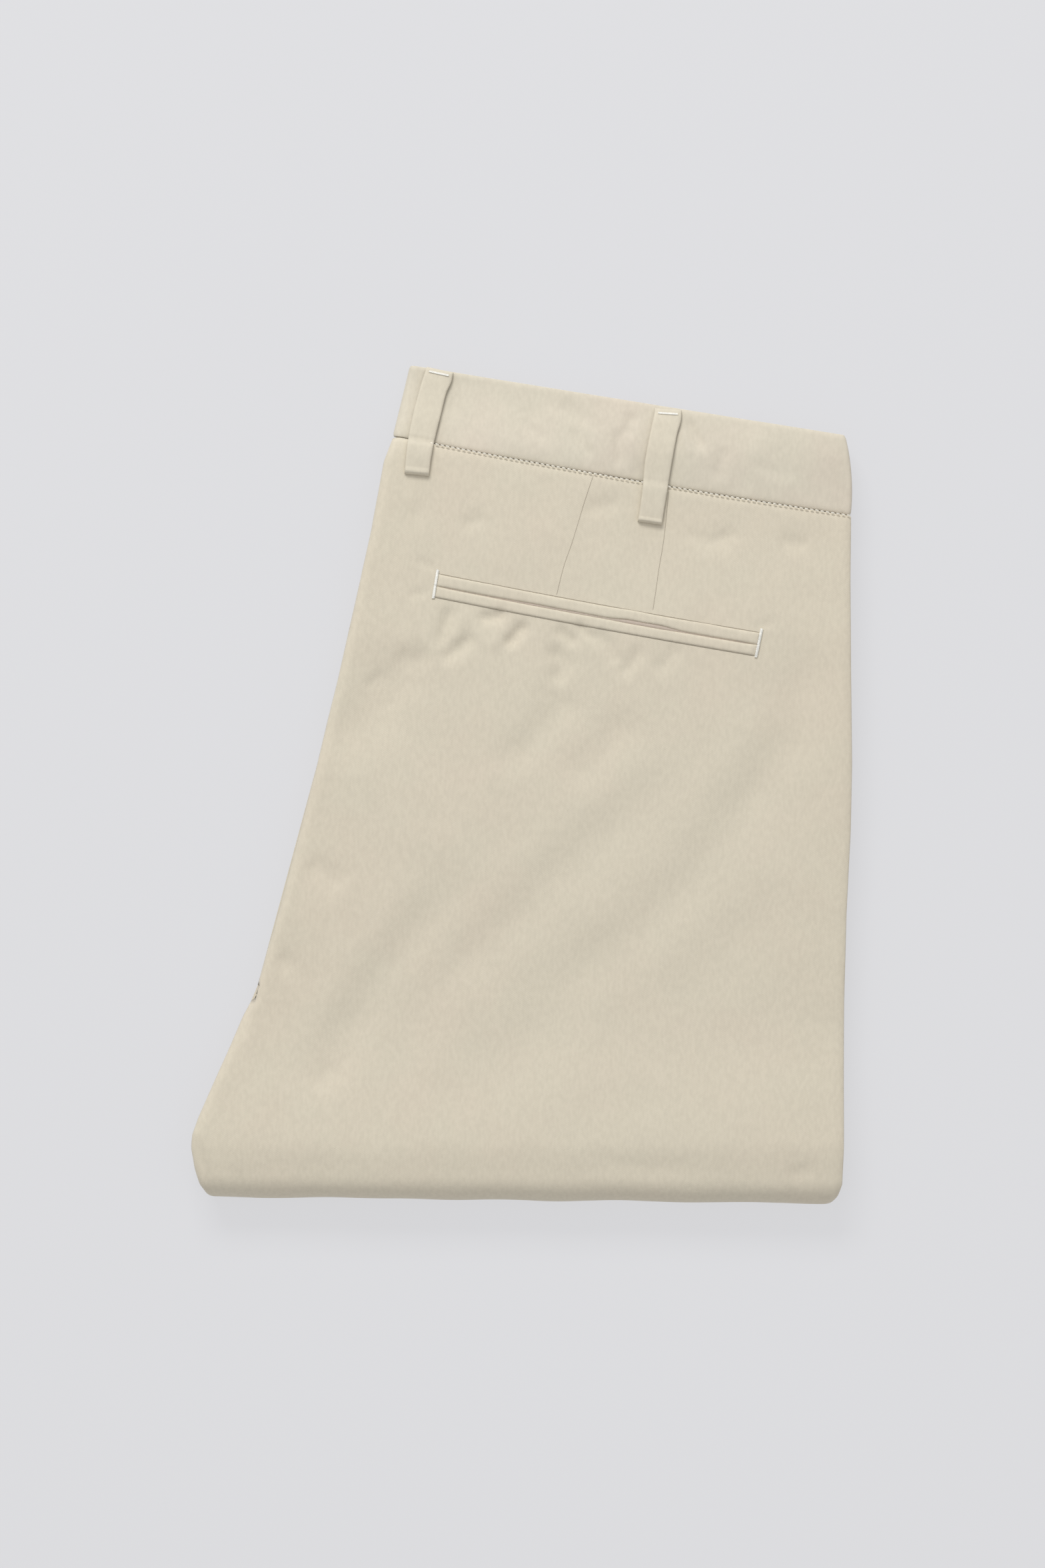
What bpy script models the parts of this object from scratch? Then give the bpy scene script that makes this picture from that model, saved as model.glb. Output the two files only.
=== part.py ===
"""Chino trousers folded for a shelf: in half along the seat seam, then in thirds across the legs.

+X runs from the seat seam to the side seams, +Y to the waist, +Z up. The origin is under the middle of the
pack, on the surface that it lies on. Sizes are millimetres until a mesh is made, which is in metres.

The right back is the upper skin. It runs down from the waist seam, turns under in a soft roll at the first
fold and comes back along the surface to the second fold. Every layer under it is made from its points,
moved in by that layer's depth.
"""

import math

import bpy
import numpy as np
from mathutils import Vector
from mathutils.bvhtree import BVHTree

MM = 0.001

# Cloth
CLOTH = 1.2  # a back: twill with its seam allowances
FRONT_CLOTH = 1.6  # a front, with its pocket bag
BAND_CLOTH = 1.7  # the waistband: two cloths and an interfacing
LAYER_GAP = 0.4
POCKET_ROOM = 1.7  # under the right back, where the pocket's facing lies
SEAM_GAP = 0.3

# How deep each layer lies under the outer skin
FRONT_RIGHT_DEPTH = CLOTH + POCKET_ROOM
FRONT_LEFT_DEPTH = FRONT_RIGHT_DEPTH + FRONT_CLOTH + LAYER_GAP
BACK_LEFT_DEPTH = FRONT_LEFT_DEPTH + FRONT_CLOTH + LAYER_GAP
SEAT_STACK = BACK_LEFT_DEPTH + CLOTH
LEGS_DEPTH = SEAT_STACK + 2 * LAYER_GAP

# Edges of the layers, in from the outline
SEAT_TURN = SEAT_STACK / 2 - 0.8  # how far each back turns in to meet the other at the seat seam
HIDDEN_START = 2.2  # the hidden layers stop this far below the waist seam
FRONT_INSETS = (8.5, 1.3)
LEG_FOLDS = 4
LEG_GROOVE = 1.1
LEG_INSET = 2.0
LEGS_NOSE = 1.5  # how far short of the roll's crest the folded legs stop

# The pack of folded legs and the two folds across them
LEGS_PACK = 7.4
FLOOR_GAP = 0.4
FOLD_TWO_Y = 150.0
WAIST_DROOP = 42.0  # length over which the waist comes down past the second fold
ROLL_REACH = 11.5  # from the crest of the first fold to the bottom edge
ROLL_RISE = 5.5
RISE_FROM_Y = -105.0
BOTTOM_LEFT_Y = -192.3
BOTTOM_RIGHT_Y = -195.5
CREST_LEFT_Y = BOTTOM_LEFT_Y + ROLL_REACH
CREST_RIGHT_Y = BOTTOM_RIGHT_Y + ROLL_REACH
KNEE_RADIUS = LEGS_PACK / 2

# Waist
SEAM_LEFT = (-60.5, 162.0)
SEAM_RIGHT = (152.7, 124.8)
SEAM_BOW = 1.4
BAND_TOP_LEFT = (-52.7, 195.5)
BAND_TOP_RIGHT = (150.2, 162.2)
BAND_RIGHT_BULGE = 1.6

# Edges of the seat, from the waist to the bottom fold: height in Y, place in X
SEAT_EDGE = (
    # y, x
    (162.0, -60.5),
    (119.0, -70.2),
    (25.0, -91.4),
    (-68.6, -115.8),
    (-99.8, -125.2),
    (-131.0, -140.2),
    (-154.5, -150.5),
    (-162.3, -153.3),
    (-178.0, -152.3),
    (-187.0, -150.0),
    (-193.0, -147.0),
)
SIDE_EDGE = (
    # y, x
    (142.0, 153.0),
    (95.0, 152.3),
    (9.5, 153.3),
    (-22.0, 152.7),
    (-61.0, 150.5),
    (-101.0, 149.5),
    (-170.0, 149.0),
    (-186.0, 148.3),
    (-192.0, 146.6),
    (-195.5, 144.2),
)
# Edges of the leg along the underside, from the bottom fold to the second fold near the knee
LEG_INSEAM = (
    # y, x
    (FOLD_TWO_Y, -58.0),
    (100.0, -68.5),
    (50.0, -80.0),
    (0.0, -93.0),
    (-50.0, -106.5),
    (-100.0, -121.0),
    (-150.0, -143.0),
    (-183.0, -147.0),
)
LEG_SIDE = (
    # y, x
    (FOLD_TWO_Y, 150.6),
    (0.0, 151.4),
    (-100.0, 147.6),
    (-184.0, 146.0),
)

# The largest soft troughs across the seat: points along each, half width, depth
TROUGHS = (
    # points, half width, depth
    (((133.0, 80.0), (124.0, 24.0), (92.0, -26.0), (21.0, -89.0), (-10.0, -117.0)), 15.0, 1.1),
    (((83.0, 17.0), (8.0, -51.0), (-63.0, -120.0)), 14.0, 0.8),
    (((-17.0, -39.0), (-70.0, -95.0), (-104.0, -148.0)), 13.0, 1.0),
    (((-42.0, 64.0), (-79.0, 24.0)), 18.0, 0.8),
)
TROUGH_TAPER = 30.0

# Back pocket
POCKET_LEFT = (-40.6, 92.3)
POCKET_RIGHT = (109.4, 64.8)
POCKET_BOW = 0.6
JET_WIDTH = 5.6
SLIT_WIDEST = 2.2
FACING_CLOTH = 0.6
FACING_MARGIN = 3.0

# Belt loops: middle of the top end, middle of the bottom end, width
LOOP_CLOTH = 1.3
LOOP_SLACK = 0.9
LOOPS = {
    # name: top, bottom, width at the top, width at the bottom
    "belt_loop_back": ((-38.6, 192.0), (-48.7, 143.2), 12.0, 11.4),
    "belt_loop_side": ((67.6, 174.0), (59.2, 120.6), 12.4, 11.0),
}

# How finely the walls are faceted. Rows are given by their height at the seat edge.
EDGE_STEPS = (0.0, 0.9, 2.3, 4.6)  # distances in from an edge
PANEL_COLUMNS = 8
SKIN_ROWS_Y = (140, 119, 95, 72, 48, 25, 0, -22, -45, -68.6, -84, -99.8, -115, -131, -143, -154.5, -162.3, -171)
HIDDEN_ROWS_Y = (147, 130, 25, -94, -113, -131, -147, -163)
LEG_ROWS_Y = (-167, -150, -125, -100, -50, 0, 50, 100)
ROLL_ROWS = 8
KNEE_ROWS = 3

TWILL = (0.62, 0.56, 0.45, 1.0)
FACING_COLOUR = (0.55, 0.47, 0.38, 1.0)


# ---------------------------------------------------------------- outlines and heights


def smooth(t):
    t = np.clip(t, 0.0, 1.0)
    return t * t * (3.0 - 2.0 * t)


def edge_x(table, y):
    """Where an edge of the outline lies at height y."""
    rows = np.array(sorted(table))
    return np.interp(y, rows[:, 0], rows[:, 1])


def seam_y(x):
    """The waist seam, which dips a little below its chord."""
    part = (x - SEAM_LEFT[0]) / (SEAM_RIGHT[0] - SEAM_LEFT[0])
    chord = SEAM_LEFT[1] + part * (SEAM_RIGHT[1] - SEAM_LEFT[1])
    return chord - 4.0 * SEAM_BOW * part * (1.0 - part)


def support(y):
    """How high the seat and the waistband lie: on the legs, and down to the surface past the second fold."""
    down = smooth((y - FOLD_TWO_Y) / WAIST_DROOP)
    return LEGS_PACK + (FLOOR_GAP - LEGS_PACK) * down


def trough_depth(x, y, points, half_width, depth):
    """Depth of one trough at (x, y). It fades out across its path and towards its ends."""
    nearest = np.full(np.shape(x), np.inf)
    along = np.zeros(np.shape(x))
    run = 0.0
    for (ax, ay), (bx, by) in zip(points[:-1], points[1:]):
        length = math.hypot(bx - ax, by - ay)
        part = ((x - ax) * (bx - ax) + (y - ay) * (by - ay)) / length**2
        part = np.clip(part, 0.0, 1.0)
        gap = np.hypot(x - ax - part * (bx - ax), y - ay - part * (by - ay))
        closer = gap < nearest
        nearest = np.where(closer, gap, nearest)
        along = np.where(closer, run + part * length, along)
        run += length
    ends = smooth(along / TROUGH_TAPER) * smooth((run - along) / TROUGH_TAPER)
    return depth * ends * np.exp(-((nearest / half_width) ** 2))


def skin_height(x, y, with_troughs):
    """Height of the upper skin, before the bottom roll turns under."""
    rise_run = RISE_FROM_Y - CREST_LEFT_Y
    height = support(y) + SEAT_STACK + ROLL_RISE * smooth((RISE_FROM_Y - y) / rise_run)
    for points, half_width, depth in TROUGHS if with_troughs else ():
        height = height - trough_depth(x, y, points, half_width, depth)
    return height


# ---------------------------------------------------------------- the skin as a grid of points


def columns():
    """Each column as (share of the width, millimetres in from that edge)."""
    left = [(0.0, step) for step in EDGE_STEPS]
    middle = [(k / (PANEL_COLUMNS + 1), 0.0) for k in range(1, PANEL_COLUMNS + 1)]
    right = [(1.0, -step) for step in reversed(EDGE_STEPS)]
    return left + middle + right


def row_of(x_left, y_left, x_right, y_right):
    """Points of one row in plan, straight from its left end to its right end."""
    x, y = [], []
    for share, inset in columns():
        part = share + inset / (x_right - x_left)
        x.append(x_left + part * (x_right - x_left))
        y.append(y_left + part * (y_right - y_left))
    return np.array(x), np.array(y)


def skin_rows(rows_y, start_gap, with_troughs):
    """The skin's rows, from the waist seam, round the roll and along the underside, as (rows, columns, 3)."""
    rows = []
    top_left = SEAM_LEFT[1] - start_gap
    top_right = SEAM_RIGHT[1] - start_gap
    for y_left in (top_left, *rows_y, CREST_LEFT_Y):
        part = (top_left - y_left) / (top_left - CREST_LEFT_Y)
        y_right = top_right + part * (CREST_RIGHT_Y - top_right)
        x, y = row_of(edge_x(SEAT_EDGE, y_left), y_left, edge_x(SIDE_EDGE, y_right), y_right)
        across = (x - x[0]) / (x[-1] - x[0])
        y = y - (1.0 - part) * 4.0 * SEAM_BOW * across * (1.0 - across)
        rows.append(np.stack([x, y, skin_height(x, y, with_troughs)], axis=1))
    crest = rows[-1]
    for k in range(1, ROLL_ROWS + 1):
        turn = math.pi * k / ROLL_ROWS
        reach = ROLL_REACH * math.sin(turn)
        y_left, y_right = CREST_LEFT_Y - reach, CREST_RIGHT_Y - reach
        x_left, x_right = edge_x(SEAT_EDGE, y_left), edge_x(SIDE_EDGE, y_right)
        if turn > math.pi / 2:
            back = 1.0 - math.sin(turn)
            x_left = (1.0 - back) * edge_x(SEAT_EDGE, BOTTOM_LEFT_Y) + back * edge_x(LEG_INSEAM, CREST_LEFT_Y)
            x_right = (1.0 - back) * edge_x(SIDE_EDGE, BOTTOM_RIGHT_Y) + back * edge_x(LEG_SIDE, CREST_RIGHT_Y)
        x, y = row_of(x_left, y_left, x_right, y_right)
        z = crest[:, 2] * 0.5 * (1.0 + math.cos(turn))
        rows.append(np.stack([x, y, z], axis=1))
    for y in (*LEG_ROWS_Y, FOLD_TWO_Y - KNEE_RADIUS):
        x, y = row_of(edge_x(LEG_INSEAM, y), y, edge_x(LEG_SIDE, y), y)
        rows.append(np.stack([x, y, np.zeros_like(x)], axis=1))
    knee = rows[-1]
    for k in range(1, KNEE_ROWS + 1):
        turn = 0.5 * math.pi * k / KNEE_ROWS
        rows.append(knee + np.array([0.0, math.sin(turn), 1.0 - math.cos(turn)]) * KNEE_RADIUS)
    return np.array(rows)


def normals_of(grid):
    """Outward unit normals of a grid of points whose rows run down and whose columns run to the right."""
    down = np.gradient(grid, axis=0)
    right = np.gradient(grid, axis=1)
    normal = np.cross(down, right)
    return normal / np.linalg.norm(normal, axis=2, keepdims=True)


# ---------------------------------------------------------------- meshes


def new_material(name, colour, roughness=0.85):
    material = bpy.data.materials.new(name)
    material.use_nodes = True
    shader = material.node_tree.nodes["Principled BSDF"]
    shader.inputs["Base Color"].default_value = colour
    shader.inputs["Roughness"].default_value = roughness
    shader.inputs["Metallic"].default_value = 0.0
    return material


def add_mesh(name, points, faces, material):
    mesh = bpy.data.meshes.new(name)
    mesh.from_pydata([tuple(p) for p in np.asarray(points) * MM], [], faces)
    mesh.materials.append(material)
    mesh.shade_smooth()
    mesh.set_sharp_from_angle(angle=math.radians(50))
    obj = bpy.data.objects.new(name, mesh)
    bpy.context.scene.collection.objects.link(obj)
    return obj


def split(a, b, c, d):
    """A quad as two triangles."""
    return [(a, b, c), (a, c, d)]


def boundary(rows, count):
    """Indexes round a grid, along its first row, down its last column and back."""
    top = [(0, c) for c in range(count)]
    right = [(r, count - 1) for r in range(1, rows)]
    bottom = [(rows - 1, c) for c in range(count - 2, -1, -1)]
    left = [(r, 0) for r in range(rows - 2, 0, -1)]
    return top + right + bottom + left


def wall(name, outer, inner, material, rings=()):
    """A closed wall between two grids. Rings are loops of boundary points, from the outer grid to the inner."""
    rows, count = outer.shape[:2]
    points = list(outer.reshape(-1, 3)) + list(inner.reshape(-1, 3))
    size = rows * count
    faces = []
    for r in range(rows - 1):
        for c in range(count - 1):
            a, b = r * count + c, r * count + c + 1
            d, e = a + count, b + count
            faces += split(a, d, e, b)
            faces += [(size + f[0], size + f[2], size + f[1]) for f in split(a, d, e, b)]
    edge = [r * count + c for r, c in boundary(rows, count)]
    loops = [edge]
    for ring in rings:
        start = len(points)
        points += list(ring)
        loops.append(list(range(start, start + len(edge))))
    loops.append([size + k for k in edge])
    for first, second in zip(loops[:-1], loops[1:]):
        for k in range(len(edge)):
            n = (k + 1) % len(edge)
            faces += split(first[k], first[n], second[n], second[k])
    return add_mesh(name, points, faces, material)


def rim(outer, inner, bulge):
    """A loop halfway between two grids' boundaries, pushed out to round the edge of the wall."""
    places = boundary(*outer.shape[:2])
    middle = np.array([(outer[p] + inner[p]) / 2 for p in places])
    inside = np.array([outer[min(max(r, 1), outer.shape[0] - 2), min(max(c, 1), outer.shape[1] - 2)]
                       for r, c in places])
    away = middle - inside
    through = np.array([outer[p] - inner[p] for p in places])
    through /= np.linalg.norm(through, axis=1, keepdims=True)
    away -= through * (away * through).sum(axis=1, keepdims=True)
    away /= np.linalg.norm(away, axis=1, keepdims=True)
    return middle + away * bulge


# ---------------------------------------------------------------- pieces


def quarter_round(step):
    """Share of a turned-in edge's depth at this distance in from the edge."""
    return 1.0 - math.sqrt(max(0.0, 1.0 - (1.0 - step / EDGE_STEPS[-1]) ** 2))


def turned_in(grid, normal, left_turn, right_turn):
    """The grid with its side edges turned in, in a quarter round of the given depth for each row."""
    moved = grid.copy()
    for k, step in enumerate(EDGE_STEPS):
        moved[:, k] -= normal[:, k] * (left_turn * quarter_round(step))[:, None]
        moved[:, -1 - k] -= normal[:, -1 - k] * (right_turn * quarter_round(step))[:, None]
    return moved


def make_back_right(skin, material):
    """The outer wall. Its left edge turns down to the seat seam, and its right edge to the side seam."""
    crest = len(SKIN_ROWS_Y) + 1
    seat = np.clip((crest + ROLL_ROWS - np.arange(len(skin))) / ROLL_ROWS, 0.0, 1.0)
    left_turn = SEAT_TURN * seat + CLOTH * (1.0 - seat)
    outer = turned_in(skin, normals_of(skin), left_turn, np.full(len(skin), CLOTH))
    inner = outer - normals_of(outer) * CLOTH
    return wall("back_right", outer, inner, material)


def seat_rows():
    """Rows of the seat's hidden layers, which follow the skin from the waist seam nearly round the roll."""
    hidden = skin_rows(HIDDEN_ROWS_Y, HIDDEN_START, with_troughs=False)
    keep = len(HIDDEN_ROWS_Y) + 1 + ROLL_ROWS
    return hidden[:keep], normals_of(hidden)[:keep]


def make_front(name, depth, material):
    """A front, inset at the left for the fold along its centre seam, with rounded edges."""
    rows, normal = seat_rows()
    columns_kept = [0, *range(len(EDGE_STEPS), rows.shape[1] - len(EDGE_STEPS)), rows.shape[1] - 1]
    rows, normal = rows[:, columns_kept], normal[:, columns_kept]
    outer = rows - normal * depth
    inner = rows - normal * (depth + FRONT_CLOTH)
    left, right = FRONT_INSETS
    for grid in (outer, inner):
        grid[:, 0, 0] += left
        grid[:, -1, 0] -= right
    return wall(name, outer, inner, material, [rim(outer, inner, FRONT_CLOTH / 2)])


def make_back_left(material):
    """The lowest layer of the seat. Its left edge turns up to the seat seam."""
    rows, normal = seat_rows()
    before_roll = np.arange(len(rows))[::-1] - ROLL_ROWS + 1
    turn = SEAT_TURN * smooth(before_roll / 3.0)
    outer = turned_in(rows - normal * SEAT_STACK, -normal, turn, np.zeros(len(rows)))
    inner = outer + normals_of(outer) * CLOTH
    return wall("back_left", inner, outer, material)


def make_folded_legs(material):
    """The turned-under legs, between the seat and the lowest cloth, with a ridge at the edges for each fold."""
    floor = CLOTH + LAYER_GAP
    end = FOLD_TWO_Y - CLOTH - LAYER_GAP
    radius = KNEE_RADIUS - CLOTH

    def level(share, inset, end_inset):
        rows = []
        for y in (CREST_LEFT_Y + LEGS_NOSE + inset, *LEG_ROWS_Y, end - end_inset):
            x, row_y = row_of(edge_x(LEG_INSEAM, y) + inset, y, edge_x(LEG_SIDE, y) - inset, y)
            x, row_y = (values[[0, *range(len(EDGE_STEPS), len(x) - len(EDGE_STEPS)), -1]] for values in (x, row_y))
            ceiling = skin_height(x, row_y, with_troughs=False) - LEGS_DEPTH
            rows.append(np.stack([x, row_y, floor + share * (ceiling - floor)], axis=1))
        return np.array(rows[::-1])

    levels = []
    for fold in range(LEG_FOLDS):
        for part, groove in ((0.0, LEG_GROOVE), (0.3, 0.0), (0.7, 0.0)):
            share = (fold + part) / LEG_FOLDS
            end_round = radius * (1.0 - math.sqrt(1.0 - (2.0 * share - 1.0) ** 2))
            levels.append(level(share, LEG_INSET + groove, end_round + groove))
    levels.append(level(1.0, LEG_INSET + LEG_GROOVE, radius + LEG_GROOVE))
    places = boundary(*levels[0].shape[:2])
    rings = [np.array([grid[place] for place in places]) for grid in reversed(levels[1:-1])]
    return wall("folded_legs", levels[-1], levels[0], material, rings)


def band_point(along, across, length):
    """Plan position on the waistband: along it from the seat seam, and across it from the waist seam up."""
    x_low = SEAM_LEFT[0] + along / length * (SEAM_RIGHT[0] - SEAM_LEFT[0])
    low = Vector((x_low, seam_y(x_low)))
    part = along / length
    high = Vector(BAND_TOP_LEFT).lerp(Vector(BAND_TOP_RIGHT), part)
    point = low.lerp(high, across)
    point.x += BAND_RIGHT_BULGE * 4.0 * across * (1.0 - across) * max(0.0, part) ** 8
    return point


def band_path(length):
    """The pressed band's centre line as (along, level, outward normal): four runs and the folds between them."""
    wall_half = BAND_CLOTH / 2
    step = BAND_CLOTH + LAYER_GAP
    levels = [wall_half + k * step for k in range(4)]
    small = step / 2
    large = (levels[3] - levels[0]) / 2
    right = length - small - wall_half
    left = large + wall_half
    front = left + 5.0
    runs, turns = 9, 5

    def run(start, end, level, up):
        return [(start + (end - start) * k / runs, level, (0.0, up)) for k in range(runs + 1)]

    def fold(centre, level, radius, start, sweep, sign):
        found = []
        for k in range(1, turns):
            angle = start + sweep * k / turns
            out = (math.cos(angle), math.sin(angle))
            place = (centre + radius * out[0], level + radius * out[1])
            found.append((*place, (sign * out[0], sign * out[1])))
        return found

    half = math.pi / 2
    path = run(left, right, levels[3], 1.0)
    path += fold(right, levels[3] - small, small, half, -math.pi, 1.0)
    path += run(right, front, levels[2], -1.0)
    path += fold(front, levels[2] - small, small, half, math.pi, -1.0)
    path += run(front, right, levels[1], 1.0)
    path += fold(right, levels[1] - small, small, half, -math.pi, 1.0)
    path += run(right, left, levels[0], -1.0)
    path += fold(left, levels[0] + large, large, -half, -math.pi, 1.0)
    return path


def make_waistband(material):
    length = math.dist(SEAM_LEFT, SEAM_RIGHT)
    rows = (0.0, 0.35, 0.7, 0.95, 1.0)
    path = band_path(length)
    count = len(path)
    points = []
    for side in (0.5, -0.5):
        for across in rows:
            thin = 0.72 if across in (rows[0], rows[-1]) else 1.0
            for along, level, (out_a, out_z) in path:
                offset = side * BAND_CLOTH * thin
                plan = band_point(along + out_a * offset, across, length)
                points.append((plan.x, plan.y, support(plan.y) + level + out_z * offset))
    faces = []
    outer, inner = 0, len(rows) * count
    for r in range(len(rows) - 1):
        for k in range(count):
            n = (k + 1) % count
            a, b = outer + r * count + k, outer + r * count + n
            faces += split(a, b, b + count, a + count)
            a, b = inner + r * count + k, inner + r * count + n
            faces += split(b, a, a + count, b + count)
    top = (len(rows) - 1) * count
    for k in range(count):
        n = (k + 1) % count
        faces += split(outer + n, outer + k, inner + k, inner + n)
        faces += split(outer + top + k, outer + top + n, inner + top + n, inner + top + k)
    return add_mesh("waistband", points, faces, material)


def tree_of(objects):
    """The joined surface of some objects, for laying a piece on them."""
    points, faces = [], []
    for obj in objects:
        start = len(points)
        points += [v.co.copy() for v in obj.data.vertices]
        faces += [[start + k for k in p.vertices] for p in obj.data.polygons]
    return BVHTree.FromPolygons(points, faces)


def height_on(tree, x, y):
    """Height of the surface under a point in plan, in millimetres."""
    hit = tree.ray_cast(Vector((x * MM, y * MM, 0.1)), Vector((0, 0, -1)))[0]
    return hit.z / MM


def make_belt_loop(name, top, bottom, top_width, bottom_width, tree, material):
    """A strap laid over the band and the waist seam, a little slack between its sewn ends."""
    rows, columns_across = 11, 4
    upper, lower = [], []
    direction = (Vector(bottom) - Vector(top)).normalized()
    side = Vector((-direction.y, direction.x))
    for r in range(rows):
        part = r / (rows - 1)
        centre = Vector(top).lerp(Vector(bottom), part)
        width = top_width + (bottom_width - top_width) * part
        places = [centre + side * width * (c / (columns_across - 1) - 0.5) for c in range(columns_across)]
        lift = SEAM_GAP + LOOP_SLACK * math.sin(math.pi * part) ** 0.5
        base = max(height_on(tree, p.x, p.y) for p in places) + lift
        lower.append([(p.x, p.y, base) for p in places])
        upper.append([(p.x, p.y, base + LOOP_CLOTH) for p in places])
    upper, lower = np.array(upper), np.array(lower)
    return wall(name, upper, lower, material, [rim(upper, lower, LOOP_CLOTH * 0.3)])


def pocket_point(part, across):
    """Plan position in the pocket: part of the way along it, and millimetres across, up positive."""
    start, end = Vector(POCKET_LEFT), Vector(POCKET_RIGHT)
    direction = (end - start).normalized()
    side = Vector((-direction.y, direction.x))
    point = start.lerp(end, part) + side * (across - POCKET_BOW * 4.0 * part * (1.0 - part))
    return point


def pocket_strip(name, low, high, heights, steps, material):
    """A strip along the pocket. low and high give its edges, and heights its underside and top, at each place."""
    upper, lower = [], []
    for k in range(steps + 1):
        part = k / steps
        places = [pocket_point(part, high(part)), pocket_point(part, (low(part) + high(part)) / 2),
                  pocket_point(part, low(part))]
        lower.append([(p.x, p.y, heights(p)[0]) for p in places])
        upper.append([(p.x, p.y, heights(p)[1]) for p in places])
    upper = np.array(upper).transpose(1, 0, 2)
    lower = np.array(lower).transpose(1, 0, 2)
    return wall(name, upper, lower, material)


def make_pocket(back, tree, twill, facing):
    """Two jets in a slit that is cut through the back, and the facing that lies under them."""
    steps = 20

    def through(point):
        height = height_on(tree, point.x, point.y)
        return height - CLOTH - POCKET_ROOM / 3, height + CLOTH

    cutter = pocket_strip("pocket_cutter", lambda part: -JET_WIDTH - SEAM_GAP,
                          lambda part: JET_WIDTH + SEAM_GAP, through, steps, twill)
    cutter.hide_render = True
    cutter.display_type = "WIRE"
    cut = back.modifiers.new("pocket slit", "BOOLEAN")
    cut.operation = "DIFFERENCE"
    cut.object = cutter

    def slit(part):
        return SEAM_GAP / 2 + (SLIT_WIDEST - SEAM_GAP) / 2 * math.sin(math.pi * part) ** 2

    def inset(part):
        return 0.004 + part * 0.992

    def in_slit(point):
        height = height_on(tree, point.x, point.y)
        return height - CLOTH, height + 0.2

    def jet(name, low, high):
        upper, lower = [], []
        for k in range(steps + 1):
            part = inset(k / steps)
            places = [pocket_point(part, low(part) + share * (high(part) - low(part))) for share in (1, 0.5, 0)]
            ranges = [in_slit(p) for p in places]
            lower.append([(p.x, p.y, z[0]) for p, z in zip(places, ranges)])
            upper.append([(p.x, p.y, z[1]) for p, z in zip(places, ranges)])
        upper = np.array(upper).transpose(1, 0, 2)
        lower = np.array(lower).transpose(1, 0, 2)
        return wall(name, upper, lower, twill)

    jet("pocket_jet_upper", slit, lambda part: JET_WIDTH)
    jet("pocket_jet_lower", lambda part: -JET_WIDTH, lambda part: -slit(part))

    def under(point):
        height = height_on(tree, point.x, point.y) - CLOTH - SEAM_GAP
        return height - FACING_CLOTH, height

    pocket_strip("pocket_facing", lambda part: -JET_WIDTH - FACING_MARGIN,
                 lambda part: JET_WIDTH + FACING_MARGIN, under, steps, facing)


def main():
    for obj in list(bpy.data.objects):
        bpy.data.objects.remove(obj, do_unlink=True)
    twill = new_material("cotton twill", TWILL)
    facing = new_material("pocket facing", FACING_COLOUR)
    back = make_back_right(skin_rows(SKIN_ROWS_Y, SEAM_GAP, with_troughs=True), twill)
    make_front("front_right", FRONT_RIGHT_DEPTH, twill)
    make_front("front_left", FRONT_LEFT_DEPTH, twill)
    make_back_left(twill)
    make_folded_legs(twill)
    band = make_waistband(twill)
    tree = tree_of([back, band])
    for name, sizes in LOOPS.items():
        make_belt_loop(name, *sizes, tree, twill)
    make_pocket(back, tree, twill, facing)


main()
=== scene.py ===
"""Folded chino trousers: the cloth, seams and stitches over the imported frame.

+X runs from the seat seam to the side seams, +Y to the waist, +Z up. Sizes are millimetres until a mesh
is made, which is in metres. A point is (x, y) or (x, y, z), and `part` is a share of a length, from 0 to 1.
"""
import math

import bpy
import numpy as np
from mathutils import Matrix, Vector, noise
from mathutils.bvhtree import BVHTree


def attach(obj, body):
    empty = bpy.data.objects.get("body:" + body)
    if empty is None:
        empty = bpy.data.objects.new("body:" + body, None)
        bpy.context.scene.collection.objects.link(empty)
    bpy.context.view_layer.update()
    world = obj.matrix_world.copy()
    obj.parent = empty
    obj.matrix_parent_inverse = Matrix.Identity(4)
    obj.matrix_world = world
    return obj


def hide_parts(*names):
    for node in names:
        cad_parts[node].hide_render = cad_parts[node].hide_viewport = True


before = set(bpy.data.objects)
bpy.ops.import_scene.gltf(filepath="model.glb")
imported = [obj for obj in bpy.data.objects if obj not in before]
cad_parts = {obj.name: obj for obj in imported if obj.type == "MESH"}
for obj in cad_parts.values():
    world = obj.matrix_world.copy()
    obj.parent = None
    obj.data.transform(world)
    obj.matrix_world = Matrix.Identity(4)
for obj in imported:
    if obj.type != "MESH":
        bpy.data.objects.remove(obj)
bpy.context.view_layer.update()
MM = 0.001

# The same driving sizes as the frame's solids
CLOTH = 1.2
SHELL = CLOTH * 0.4  # the seat's wall here is thinner than the frame's, which leaves room for the creases
BAND_CLOTH = 1.7
LAYER_GAP = 0.4
SEAT_STACK = 9.1
LEGS_PACK = 7.4
FLOOR_GAP = 0.4
FOLD_TWO_Y = 150.0
WAIST_DROOP = 42.0
ROLL_REACH = 11.5
ROLL_RISE = 5.5
RISE_FROM_Y = -105.0
ROLL_SLOPE = 1.6  # the skin already runs down this much before the crest of the roll
SLOPE_FROM_Y = -166.0
SLOPE_LENGTH = 19.0
NOSE_DROP = 0.8
BOTTOM_LEFT_Y = -192.3
BOTTOM_RIGHT_Y = -195.5
CREST_LEFT_Y = BOTTOM_LEFT_Y + ROLL_REACH
CREST_RIGHT_Y = BOTTOM_RIGHT_Y + ROLL_REACH
KNEE_RADIUS = LEGS_PACK / 2
SEAM_LEFT = (-60.5, 162.0)
SEAM_RIGHT = (152.7, 124.8)
SEAM_BOW = 1.4
BAND_TOP_LEFT = (-52.7, 195.5)
BAND_TOP_RIGHT = (150.2, 162.2)
BAND_RIGHT_BULGE = 1.6
BAND_FRONT_INSET = 5.0  # the inner turn of the folded band stops this far short of the outer one
BAND_STEPS = 150  # points along the layer that shows
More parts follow.
